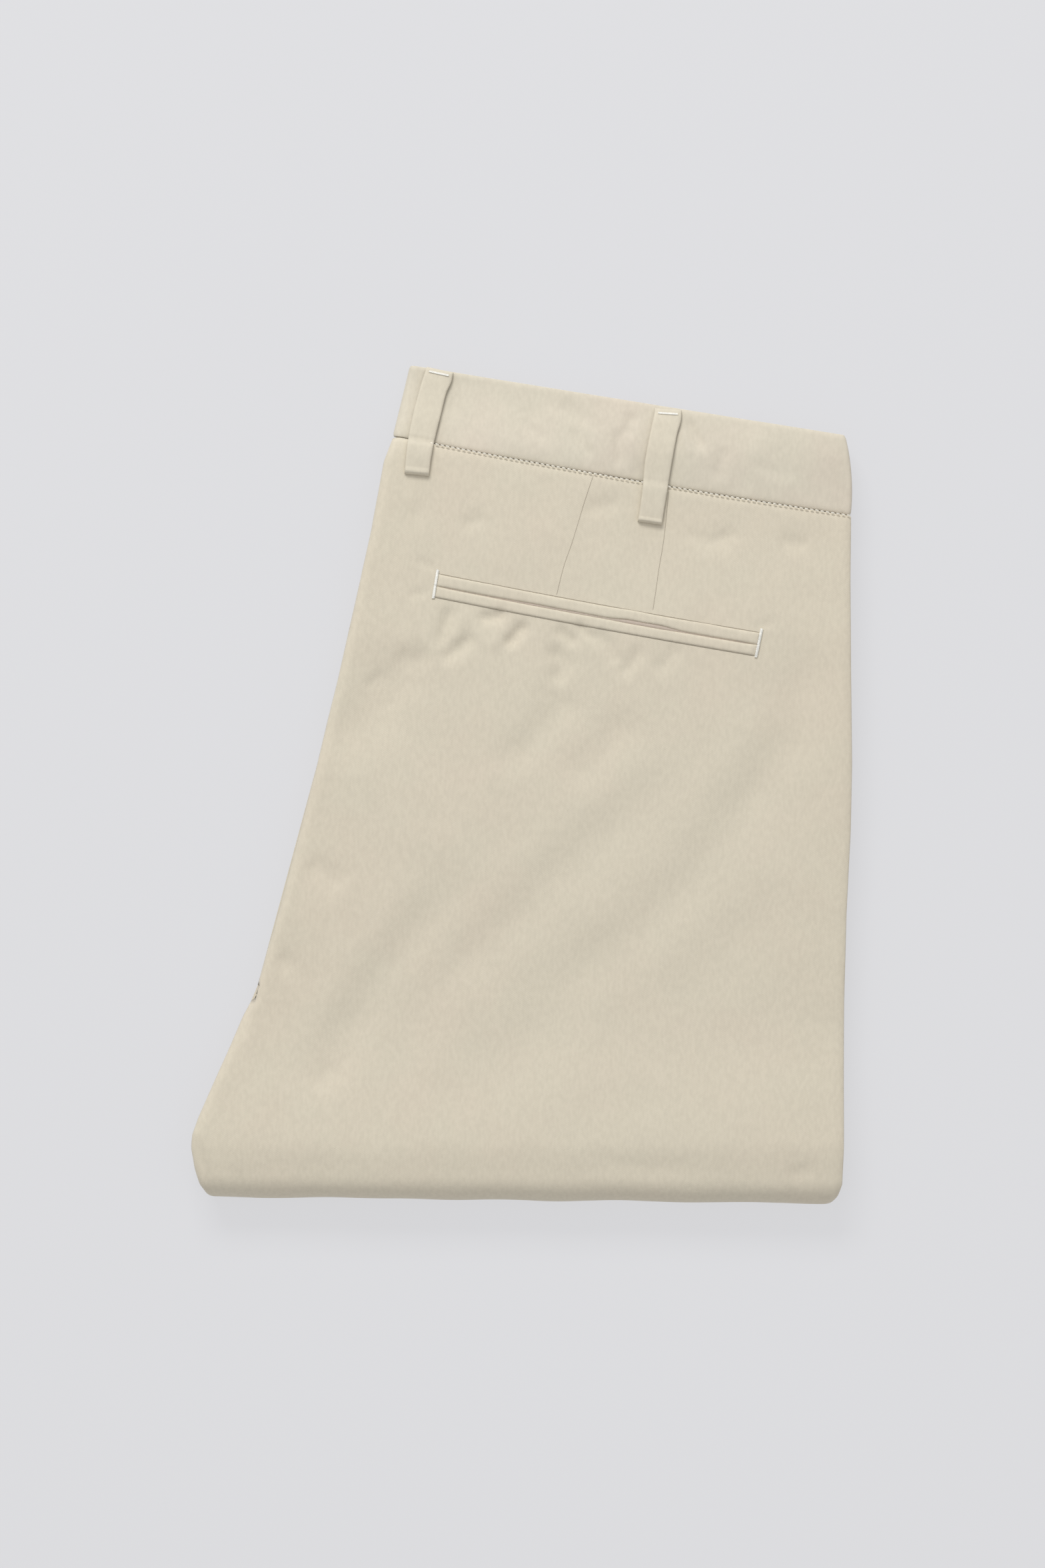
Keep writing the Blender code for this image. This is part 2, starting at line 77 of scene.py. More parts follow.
BAND_HIDDEN_STEPS = 30
BAND_EDGE = 0.045  # share of the depth over which the band's edges round off
SEAT_TURN = SEAT_STACK / 2 - 0.8  # how far the back turns in at the seat seam
SIDE_TURN = CLOTH * 1.25  # and at the side seam
EDGE_ROUND = 4.6
EDGE_COLUMNS = 6
SEAM_LAP = 0.3  # how far the seat's first row lies below the waist seam
SEAM_DIPS = (0.5, 0.12)  # how deep its first rows sink there
SEAT_WIDTH = 260.0

SEAT_EDGE = (
    # y, x
    (162.0, -60.5), (150.2, -64.5), (119.0, -70.2), (72.0, -80.5), (25.0, -91.4), (-21.7, -103.3),
    (-68.6, -115.8), (-99.8, -125.2), (-103.0, -127.2), (-131.0, -140.2), (-154.5, -150.6),
    (-162.3, -153.2), (-170.0, -153.0), (-178.0, -152.2), (-187.0, -150.0), (-193.0, -147.0),
)
SIDE_EDGE = (
    # y, x
    (142.0, 153.0), (95.0, 152.4), (50.0, 152.7), (9.5, 153.2), (-22.0, 152.6), (-61.0, 150.6),
    (-101.0, 149.5), (-170.0, 149.0), (-186.0, 148.3), (-192.0, 146.6), (-195.5, 144.2),
)
LEG_INSEAM = (
    # y, x
    (FOLD_TWO_Y, -58.0), (100.0, -68.5), (50.0, -80.0), (0.0, -93.0), (-50.0, -106.5), (-100.0, -121.0),
    (-150.0, -143.0), (-183.0, -147.0),
)
LEG_SIDE = (
    # y, x
    (FOLD_TWO_Y, 150.6), (0.0, 151.4), (-100.0, 147.6), (-184.0, 146.0),
)

# Soft troughs and ridges in the seat: points along each, half width, depth (negative for a ridge)
CREASES = (
    # the long drag folds from the side seam down to the crotch
    (((137, 84), (131, 54), (122, 18), (92, -26), (58, -64), (21, -89), (-14, -118)), 13.0, 1.75),
    (((119, 60), (108, 12), (76, -36), (38, -70), (4, -92)), 15.0, -0.70),
    (((83, 17), (40, -22), (8, -51), (-32, -86), (-66, -122)), 12.0, 1.30),
    (((66, 18), (28, -14), (-8, -46), (-48, -84)), 12.0, -0.50),
    (((-17, -39), (-48, -66), (-70, -95), (-90, -128), (-106, -149)), 10.5, 1.45),
    (((-36, -34), (-66, -66), (-90, -104), (-108, -136)), 11.0, -0.50),
    (((-85, -130), (-98, -141)), 6.0, 0.95),
    (((-42, 66), (-60, 46), (-80, 24), (-92, 4)), 14.0, 1.60),
    (((8, 52), (18, 36), (2, 18), (-14, 2)), 8.0, 1.15),
    (((52, 36), (38, 16), (21, -5)), 9.0, 1.05),
    (((-101, -35), (-90, -42), (-82, -49)), 6.0, 1.00),
    (((-113, -78), (-107, -88)), 4.5, 0.95),
    (((30, -100), (-20, -140), (-60, -158)), 14.0, 0.75),
    (((120, -40), (98, -76), (60, -112)), 14.0, 0.85),
    # puckers under the pocket
    (((-22, 76), (-14, 77.5), (-6, 79)), 2.4, 1.6),
    (((-9, 63), (-3, 69), (3, 76)), 2.6, 2.2),
    (((-17, 62), (-11, 67), (-6, 74)), 2.4, -0.5),
    (((14, 73), (20, 69), (27, 64)), 2.6, 1.3),
    (((24, 76), (30, 70), (36, 66)), 2.4, 1.1),
    (((-33, 84), (-36, 74), (-39, 62)), 3.0, 1.4),
    (((-25, 84), (-28, 74), (-33, 64)), 2.4, -0.5),
    (((-21, 70), (-28, 64), (-40, 56)), 3.4, 1.5),
    (((33, 72), (40, 65), (46, 54)), 3.4, 1.1),
    (((56, 66), (52, 58), (44, 48)), 3.4, 1.1),
    (((12, 66), (19, 56), (14, 44)), 4.6, 1.5),
    (((72, 66), (68, 58), (60, 50)), 4.0, 0.8),
    (((-60, 62), (-52, 58), (-40, 60)), 5.0, 0.9),
    (((-72, 52), (-66, 44), (-60, 34)), 5.5, 0.9),
    # small creases by the tacks and under the waist seam
    (((-50, 105), (-45, 102), (-40, 99)), 1.8, 0.60),
    (((-54, 87), (-48, 88.5), (-42, 90)), 1.8, 0.55),
    (((111, 73), (117, 76)), 1.8, 0.60),
    (((-30, 119), (-22, 122), (-15, 124)), 3.6, 0.60),
    (((26, 127), (36, 129), (48, 131)), 3.6, 0.70),
    (((118, 113), (126, 112), (134, 110)), 4.0, 0.80),
    (((92, 118), (96, 106)), 3.6, 0.55),
    (((72, 118), (86, 112), (104, 118)), 3.4, 0.60),
    (((-48, 130), (-50, 118)), 3.4, 0.50),
    # along the roll
    (((-133, -178), (-130, -186)), 2.4, 0.65),
    (((-152, -162), (-148, -176), (-143, -188)), 2.2, 0.75),
    (((127, -176), (131, -184)), 6.0, 0.75),
    (((20, -172), (60, -178), (90, -176)), 5.0, 0.45),
)
DEEPEST = 1.8  # no crease reaches the layer under the seat
TAPER = 0.3  # share of a crease's length over which each end fades

# The tuck where the seat edge runs in over the crotch: its points, the height of its step, the width over
# which the cloth outside it rises again, and the width and share of the step on its inner side
TUCK = (
    (-125.0, -99.0), (-126.8, -104.0), (-127.4, -112.0),
    (-129.6, -118.0), (-131.4, -126.0), (-133.0, -136.0),
)
TUCK_STEP = 1.3
TUCK_WIDTH = 4.5
TUCK_INNER_WIDTH = 0.9
TUCK_INNER_SHARE = 0.5

# Slow unevenness of the cloth: size of a swell, its height, and a seed
SEAT_SWELL = (46.0, 0.8, 1.0)
SEAT_RIPPLE = (19.0, 0.30, 5.0)
ROLL_WAVER = (30.0, 0.7, 9.0)
BAND_SWELL = (26.0, 0.8, 12.0)
BAND_RIPPLE = (11.0, 0.28, 3.0)

# Creases in the waistband, in the same form
BAND_CREASES = (
    (((18, 180), (24, 173), (31, 166)), 2.8, 0.75),
    (((10, 176), (17, 170), (25, 160)), 3.0, -0.40),
    (((22, 168), (28, 158), (33, 150)), 2.6, 0.90),
    (((-2, 168), (6, 164), (15, 158)), 2.6, 0.50),
    (((45, 166), (44.5, 156), (45.5, 146)), 3.0, 1.10),
    (((52, 174), (49.5, 166), (48, 160)), 3.0, 1.10),
    (((76.5, 171.5), (80, 163), (85, 154)), 2.2, 1.35),
    (((73.5, 166), (76, 158), (78, 150)), 2.0, -0.55),
    (((94, 158), (92, 148), (91.5, 139)), 3.2, 0.80),
    (((0, 176), (4, 166)), 5.0, 0.60),
    (((118, 158), (124, 146)), 6.0, 0.50),
    (((104, 150), (114, 146), (126, 142)), 3.0, 0.45),
    (((-31, 184), (-34, 170)), 3.4, 0.60),
    (((-57, 180), (-58.5, 168)), 2.6, 0.75),
)

# Back pocket. Places along it are shares of its length. Places across it are millimetres towards the waist
POCKET_LEFT = (-40.4, 92.2)
POCKET_RIGHT = (109.4, 64.8)
POCKET_BOW = 0.6
JET_WIDTH = 5.5
SLIT_WIDEST = 1.1
SLIT_DROP = 0.25  # the slit lies this far below the pocket's middle line
SLIT_WAVES = (
    # place, half length and share of the widest gape
    (0.31, 0.09, 0.35), (0.60, 0.05, 0.9), (0.69, 0.055, 1.0), (0.45, 0.08, 0.3),
)
JET_STEPS = 190
JET_PROFILE = (
    # share of the width, height over the back
    (0.0, -0.55), (0.02, 0.10), (0.07, 0.46), (0.16, 0.66), (0.32, 0.74), (0.5, 0.74),
    (0.68, 0.74), (0.84, 0.66), (0.93, 0.46), (0.98, 0.10), (1.0, -0.55),
)
JET_SINK = 0.60  # how deep its lower face lies
JET_END = 0.012
FACING_STEPS = 120
FACING_LIFT = 0.06
FACING_CLOTH = 0.3
SEAM_LINE_STEPS = 150

# Darts, from the waist seam to the pocket
DARTS = (
    ((33.0, 143.6), (28.9, 131.4), (25.8, 121.1), (22.7, 111.1), (19.2, 101.1), (15.8, 87.6)),
    ((68.0, 136.6), (65.8, 114.9), (63.3, 99.5), (62.0, 90.2), (60.5, 80.6)),
)

LOOP_CLOTH = 1.3
LOOPS = {
    # name: middle of the strap from the top down as (x, y, width)
    "belt_loop_back": (
        (-38.5, 193.2, 12.6), (-39.4, 189.3, 13.0), (-41.6, 183.4, 12.4), (-44.4, 172.0, 12.6),
        (-46.8, 161.0, 12.2), (-48.3, 151.0, 11.6), (-49.1, 143.4, 11.4),
    ),
    "belt_loop_side": (
        (67.8, 174.6, 12.4), (67.4, 170.0, 12.8), (65.6, 163.0, 12.4), (63.0, 149.0, 12.4),
        (61.5, 137.0, 11.6), (60.0, 127.0, 11.2), (59.1, 121.0, 11.4),
    ),
}
LOOP_STEPS = 46
LOOP_LOW = 0.25  # height of its lower face over the cloth at both ends, where the middle has 1
LOOP_PROFILE = (
    # share of the width across, share of the thickness up
    (-0.5, 0.0), (-0.5, 0.55), (-0.475, 0.85), (-0.42, 1.0), (-0.3, 1.03), (-0.1, 1.0),
    (0.1, 1.0), (0.3, 1.03), (0.42, 1.0), (0.475, 0.85), (0.5, 0.55), (0.5, 0.0),
)
LOOP_TUCK_FROM = 0.94  # from here down the strap is doubled by its tucked end
LOOP_TUCK_THICKER = 1.55
LOOP_END_ROUND = 0.03

# Stitching
STITCH_PITCH = 2.45
STITCH_LENGTH = 1.75
STITCH_LIFT = 0.75
STITCH_ARCH = 0.16
STITCHES_START = 17.5  # from the seat seam, just past the back loop
THREAD = 0.30
TACK_THREAD = 0.22
LOOP_TACK_THREAD = 0.20
POCKET_TACK_WIDTH = 1.45
LOOP_TACK_WIDTH = 1.0

# Photograph's angle: straight down on the middle of the pack
CAMERA_HEIGHT = 1.735  # metres
CAMERA_LENS = 85.0


# ---------------------------------------------------------------- heights


def smooth(t):
    t = np.clip(t, 0.0, 1.0)
    return t * t * (3.0 - 2.0 * t)


def edge_x(table, y):
    rows = np.array(sorted(table))
    return np.interp(y, rows[:, 0], rows[:, 1])


def seam_y(x):
    part = (x - SEAM_LEFT[0]) / (SEAM_RIGHT[0] - SEAM_LEFT[0])
    chord = SEAM_LEFT[1] + part * (SEAM_RIGHT[1] - SEAM_LEFT[1])
    return chord - 4.0 * SEAM_BOW * part * (1.0 - part)


def support(y):
    """Height of what the seat and the waistband lie on: the folded legs, and past them the floor."""
    return LEGS_PACK + (FLOOR_GAP - LEGS_PACK) * smooth((y - FOLD_TWO_Y) / WAIST_DROOP)


def path_distance(x, y, points):
    """Distance of each place to a path, its share of the way along the path, and the side that it is on."""
    nearest = np.full(np.shape(x), 1e9)
    along = np.zeros(np.shape(x))
    side = np.zeros(np.shape(x))
    run = 0.0
    for (ax, ay), (bx, by) in zip(points[:-1], points[1:]):
        length = math.hypot(bx - ax, by - ay)
        part = np.clip(((x - ax) * (bx - ax) + (y - ay) * (by - ay)) / length**2, 0.0, 1.0)
        gap = np.hypot(x - ax - part * (bx - ax), y - ay - part * (by - ay))
        cross = (bx - ax) * (y - ay) - (by - ay) * (x - ax)
        closer = gap < nearest
        nearest = np.where(closer, gap, nearest)
        along = np.where(closer, run + part * length, along)
        side = np.where(closer, np.sign(cross), side)
        run += length
    return nearest, along / run, side


def crease_depth(x, y, table):
    """How deep the cloth lies under its smooth form at each place. A crease fades out at both ends."""
    total = np.zeros(np.shape(x))
    for points, half_width, depth in table:
        gap, along, _ = path_distance(x, y, points)
        ends = smooth(along / TAPER) * smooth((1.0 - along) / TAPER)
        ends = np.where(len(points) > 2, ends, 0.35 + 0.65 * ends)
        total += depth * ends * np.exp(-((gap / half_width) ** 2))
    return np.minimum(total, DEEPEST)


def tuck_depth(x, y):
    """The crotch lies a step lower than the seat along the tuck, which fades out on its way down."""
    gap, along, side = path_distance(x, y, TUCK)
    fade = 1.0 - smooth(along)
    outside = np.exp(-((gap / TUCK_WIDTH) ** 2))
    inside = np.exp(-((gap / TUCK_INNER_WIDTH) ** 2)) * TUCK_INNER_SHARE
    return TUCK_STEP * fade * np.where(side < 0, outside, inside)


def undulation(x, y, size, depth, seed):
    """Slow unevenness in the cloth, from noise."""
    flat_x, flat_y = np.ravel(x) / size, np.ravel(y) / size
    values = [noise.noise(Vector((a, b, seed))) for a, b in zip(flat_x, flat_y)]
    return depth * np.array(values).reshape(np.shape(x))


def skin_height(x, y):
    """Height of the seat's outer face."""
    rise = ROLL_RISE * smooth((RISE_FROM_Y - y) / (RISE_FROM_Y - CREST_LEFT_Y))
    height = support(y) + SEAT_STACK + rise - crease_depth(x, y, CREASES) - tuck_depth(x, y)
    height = height - ROLL_SLOPE * smooth((SLOPE_FROM_Y - y) / SLOPE_LENGTH)
    height = height + undulation(x, y, *SEAT_SWELL) + undulation(x, y, *SEAT_RIPPLE)
    return height


# ---------------------------------------------------------------- meshes


def add_mesh(name, points, faces, material):
    mesh = bpy.data.meshes.new(name)
    mesh.from_pydata((np.asarray(points) * MM).tolist(), [], faces)
    mesh.materials.append(material)
    mesh.shade_smooth()
    obj = bpy.data.objects.new(name, mesh)
    bpy.context.scene.collection.objects.link(obj)
    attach(obj, "root")
    return obj


def grid_faces(rows, count, start=0, flip=False, wrap=False):
    faces = []
    for r in range(rows - 1):
        for c in range(count if wrap else count - 1):
            n = (c + 1) % count
            a, b = start + r * count + c, start + r * count + n
            quad = (a, a + count, b + count, b)
            faces.append(quad[::-1] if flip else quad)
    return faces


def boundary(rows, count):
    top = list(range(count))
    right = [r * count + count - 1 for r in range(1, rows)]
    bottom = [(rows - 1) * count + c for c in range(count - 2, -1, -1)]
    left = [r * count for r in range(rows - 2, 0, -1)]
    return top + right + bottom + left


def wall(name, outer, inner, material):
    """A closed wall between two grids of points."""
    rows, count = outer.shape[:2]
    size = rows * count
    faces = grid_faces(rows, count) + grid_faces(rows, count, size, flip=True)
    edge = boundary(rows, count)
    for a, b in zip(edge, edge[1:] + edge[:1]):
        faces.append((a, b, size + b, size + a))
    return add_mesh(name, np.concatenate([outer.reshape(-1, 3), inner.reshape(-1, 3)]), faces, material)


def normals_of(grid):
    normal = np.cross(np.gradient(grid, axis=0), np.gradient(grid, axis=1))
    return normal / np.linalg.norm(normal, axis=2, keepdims=True)


def tree_of(objects):
    points, faces = [], []
    for obj in objects:
        start = len(points)
        points += [v.co.copy() for v in obj.data.vertices]
        faces += [[start + k for k in p.vertices] for p in obj.data.polygons]
    return BVHTree.FromPolygons(points, faces)


def height_on(tree, x, y):
    """Height of the cloth under a point. A point just past the waist's edge takes the height inside it."""
    for back in range(8):
        hit = tree.ray_cast(Vector((x * MM, (y - 0.5 * back) * MM, 0.1)), Vector((0, 0, -1)))[0]
        if hit:
            return hit.z / MM
    return 0.0


def tube(points, radius, sides=6):
    """Points and faces of a thread that follows some points, with pointed ends."""
    points = [Vector(p) for p in points]
    ring_points, faces = [], []
    count = len(points)
    for k, point in enumerate(points):
        ahead = points[min(k + 1, count - 1)] - points[max(k - 1, 0)]
        ahead.normalize()
        across = ahead.cross(Vector((0, 0, 1))).normalized()
        up = across.cross(ahead)
        thin = 0.35 if k in (0, count - 1) else 1.0
        for s in range(sides):
            angle = 2 * math.pi * s / sides
            ring_points.append(point + (across * math.cos(angle) + up * math.sin(angle)) * radius * thin)
    for k in range(count - 1):
        for s in range(sides):
            n = (s + 1) % sides
            a, b = k * sides + s, k * sides + n
            faces.append((a, a + sides, b + sides, b))
    faces.append(tuple(range(sides)))
    faces.append(tuple((count - 1) * sides + s for s in reversed(range(sides))))
    return [tuple(p) for p in ring_points], faces


def join_tubes(name, tubes, material):
    """One piece from many tubes."""
    points, faces = [], []
    for tube_points, tube_faces in tubes:
        start = len(points)
        points += tube_points
        faces += [tuple(start + k for k in face) for face in tube_faces]
    return add_mesh(name, points, faces, material)


def smooth_path(points, count):
    """Points read from a smooth curve through some points."""
    points = np.array(points, float)
    knots = np.linspace(0.0, 1.0, len(points))
    wanted = np.linspace(0.0, 1.0, count)
    tangent = np.gradient(points, knots, axis=0)
    found = []
    for t in wanted:
        k = min(int(np.searchsorted(knots, t, side="right")) - 1, len(points) - 2)
        span = knots[k + 1] - knots[k]
        s = (t - knots[k]) / span
        found.append((2 * s**3 - 3 * s**2 + 1) * points[k] + (s**3 - 2 * s**2 + s) * span * tangent[k]
                     + (3 * s**2 - 2 * s**3) * points[k + 1] + (s**3 - s**2) * span * tangent[k + 1])
    return np.array(found)


# ---------------------------------------------------------------- materials

# The floor gives off part of its own light, as a lit sweep does, which keeps the shadow faint
FLOOR_COLOUR = (0.150, 0.150, 0.154, 1.0)
FLOOR_COLOUR_2 = (0.154, 0.154, 0.158, 1.0)
FLOOR_GLOW = (0.578, 0.578, 0.592, 1.0)
TWILL_ANGLE = math.radians(58)
WEAVE_SHARE = 0.34  # how much of the colour the fine weave gives, against the slow drifts of painted sheen
WEAVE_STRENGTH = 0.30
WEAVE_DEPTH = 0.00022  # metres


def mapped_noise(nodes, links, coordinates, scale, detail=2.0, stretch=(1, 1, 1), turn=0.0):
    mapping = nodes.new("ShaderNodeMapping")
    mapping.inputs["Scale"].default_value = stretch
    mapping.inputs["Rotation"].default_value = (0, 0, turn)
    links.new(coordinates, mapping.inputs["Vector"])
    texture = nodes.new("ShaderNodeTexNoise")
    texture.inputs["Scale"].default_value = scale
    texture.inputs["Detail"].default_value = detail
    links.new(mapping.outputs["Vector"], texture.inputs["Vector"])
    return texture.outputs["Fac"]


def mixed(nodes, links, factor, first, second):
    mix = nodes.new("ShaderNodeMix")
    mix.data_type = "RGBA"
    links.new(factor, mix.inputs["Factor"])
    for socket, value in (("A", first), ("B", second)):
        target = next(s for s in mix.inputs if s.name == socket and s.type == "RGBA")
        if isinstance(value, tuple):
            target.default_value = value
        else:
            links.new(value, target)
    return next(s for s in mix.outputs if s.type == "RGBA")


def spread(nodes, links, value, low, high):
    """The values between low and high, spread out from 0 to 1."""
    ramp = nodes.new("ShaderNodeMapRange")
    ramp.inputs["From Min"].default_value = low
    ramp.inputs["From Max"].default_value = high
    links.new(value, ramp.inputs["Value"])
    return ramp.outputs["Result"]


def twill_material(name, base, sheen_warm, sheen_cool, weave_turn=0.0):
    """Cotton twill: fine diagonal ribs, slubs along the warp, and slow drifts of colour that are painted
    sheen.
    """
    material = bpy.data.materials.new(name)
    material.use_nodes = True
    nodes, links = material.node_tree.nodes, material.node_tree.links
    shader = nodes["Principled BSDF"]
    shader.inputs["Roughness"].default_value = 0.82
    shader.inputs["Specular IOR Level"].default_value = 0.22
    shader.inputs["Sheen Weight"].default_value = 0.18
    shader.inputs["Sheen Roughness"].default_value = 0.45
    place = nodes.new("ShaderNodeTexCoord").outputs["Object"]
    drift = spread(nodes, links, mapped_noise(nodes, links, place, 16.0, 3.0), 0.38, 0.64)
    cloud = spread(nodes, links, mapped_noise(nodes, links, place, 34.0, 3.0), 0.36, 0.66)
    grain = mapped_noise(nodes, links, place, 620.0, 2.0, (1.0, 0.45, 1.0), weave_turn)
    slub = mapped_noise(nodes, links, place, 1500.0, 2.0, (1.0, 0.16, 1.0), weave_turn)
    # Painted sheen: slow drifts between a warmer and a cooler colour stand in for the shimmer of the
    # twill's sheen
    sheen_tint = mixed(nodes, links, drift, sheen_warm, base)
    sheen_tint = mixed(nodes, links, cloud, sheen_tint, sheen_cool)
    darker = tuple(0.90 * v for v in base[:3]) + (1.0,)
    lighter = tuple(min(1.0, 1.07 * v) for v in base[:3]) + (1.0,)
    fine = mixed(nodes, links, spread(nodes, links, grain, 0.34, 0.66), darker, lighter)
    blend = nodes.new("ShaderNodeMix")
    blend.data_type = "RGBA"
    blend.inputs["Factor"].default_value = WEAVE_SHARE
    colour_inputs = [s for s in blend.inputs if s.type == "RGBA"]
    links.new(sheen_tint, colour_inputs[0])
    links.new(fine, colour_inputs[1])
    links.new(next(s for s in blend.outputs if s.type == "RGBA"), shader.inputs["Base Color"])
    ribs = nodes.new("ShaderNodeTexWave")
    ribs.wave_type = "BANDS"
    ribs.bands_direction = "X"
    ribs.inputs["Scale"].default_value = 420.0
    ribs.inputs["Distortion"].default_value = 1.4
    ribs.inputs["Detail"].default_value = 1.0
    mapping = nodes.new("ShaderNodeMapping")
    mapping.inputs["Rotation"].default_value = (0, 0, TWILL_ANGLE + weave_turn)
    links.new(place, mapping.inputs["Vector"])
    links.new(mapping.outputs["Vector"], ribs.inputs["Vector"])
    height = nodes.new("ShaderNodeMath")
    height.operation = "MULTIPLY_ADD"
    links.new(ribs.outputs["Fac"], height.inputs[0])
    height.inputs[1].default_value = 0.35
    links.new(slub, height.inputs[2])
    both = nodes.new("ShaderNodeMath")
    both.operation = "ADD"
    links.new(height.outputs[0], both.inputs[0])
    links.new(grain, both.inputs[1])
    dent = nodes.new("ShaderNodeBump")
    dent.inputs["Strength"].default_value = WEAVE_STRENGTH
    dent.inputs["Distance"].default_value = WEAVE_DEPTH
    links.new(both.outputs[0], dent.inputs["Height"])
    links.new(dent.outputs["Normal"], shader.inputs["Normal"])
    return material


def thread_material(name, colour):
    """Cotton thread, a little darker in its twist."""
    material = bpy.data.materials.new(name)
    material.use_nodes = True
    nodes, links = material.node_tree.nodes, material.node_tree.links
    shader = nodes["Principled BSDF"]
    shader.inputs["Roughness"].default_value = 0.55
    shader.inputs["Sheen Weight"].default_value = 0.15
    place = nodes.new("ShaderNodeTexCoord").outputs["Object"]
    twist = spread(nodes, links, mapped_noise(nodes, links, place, 1400.0, 2.0), 0.3, 0.7)
    darker = tuple(0.82 * v for v in colour[:3]) + (1.0,)
    links.new(mixed(nodes, links, twist, darker, colour), shader.inputs["Base Color"])
    return material


def floor_material():
    material = bpy.data.materials.new("floor")
    material.use_nodes = True
    nodes, links = material.node_tree.nodes, material.node_tree.links
    shader = nodes["Principled BSDF"]
    shader.inputs["Roughness"].default_value = 0.95
    shader.inputs["Specular IOR Level"].default_value = 0.1
    shader.inputs["Emission Color"].default_value = FLOOR_GLOW
    shader.inputs["Emission Strength"].default_value = 1.0
    place = nodes.new("ShaderNodeTexCoord").outputs["Object"]
    cloud = spread(nodes, links, mapped_noise(nodes, links, place, 2.0), 0.3, 0.7)
    links.new(mixed(nodes, links, cloud, FLOOR_COLOUR, FLOOR_COLOUR_2), shader.inputs["Base Color"])
    return material


TWILL = twill_material("stone twill", (0.672, 0.606, 0.482, 1), (0.678, 0.602, 0.480, 1),
                       (0.672, 0.612, 0.486, 1))
# Painted shade: the band has the seat's twill in a slightly darker colour, which evens out the extra light
# that its drooping slope catches
BAND_TWILL_SHADED = twill_material("stone twill band", (0.646, 0.586, 0.476, 1), (0.656, 0.578, 0.474, 1),
                            (0.646, 0.596, 0.480, 1), math.radians(-10))
FACING = twill_material("pocket facing", (0.540, 0.455, 0.380, 1), (0.550, 0.450, 0.375, 1),
                        (0.53, 0.46, 0.38, 1))
LOOP_TWILL = twill_material("loop twill", (0.660, 0.598, 0.478, 1), (0.664, 0.594, 0.478, 1),
                            (0.658, 0.602, 0.482, 1), math.radians(-11))
STITCH = thread_material("stitch thread", (0.88, 0.83, 0.72, 1))
TACK = thread_material("tack thread", (0.95, 0.93, 0.86, 1))
# Painted shade: a dark colour for thin lines that stand in for the shade in the grooves along the seams
SEAM_SHADE_PAINT = thread_material("seam shade", (0.40, 0.345, 0.265, 1))


# ---------------------------------------------------------------- seat cloth


def edge_places(count, width):
    """Share of the width of each column, closer together where the edges round over."""
    inner = np.linspace(EDGE_ROUND / width, 1.0 - EDGE_ROUND / width, count)
    turns = np.linspace(0, math.pi / 2, EDGE_COLUMNS + 1)[:-1]
    near = EDGE_ROUND * (1.0 - np.cos(turns)) / width
    return np.concatenate([near, inner, 1.0 - near[::-1]])


def plan_row(x_left, y_left, x_right, y_right, shares):
    return x_left + shares * (x_right - x_left), y_left + shares * (y_right - y_left)


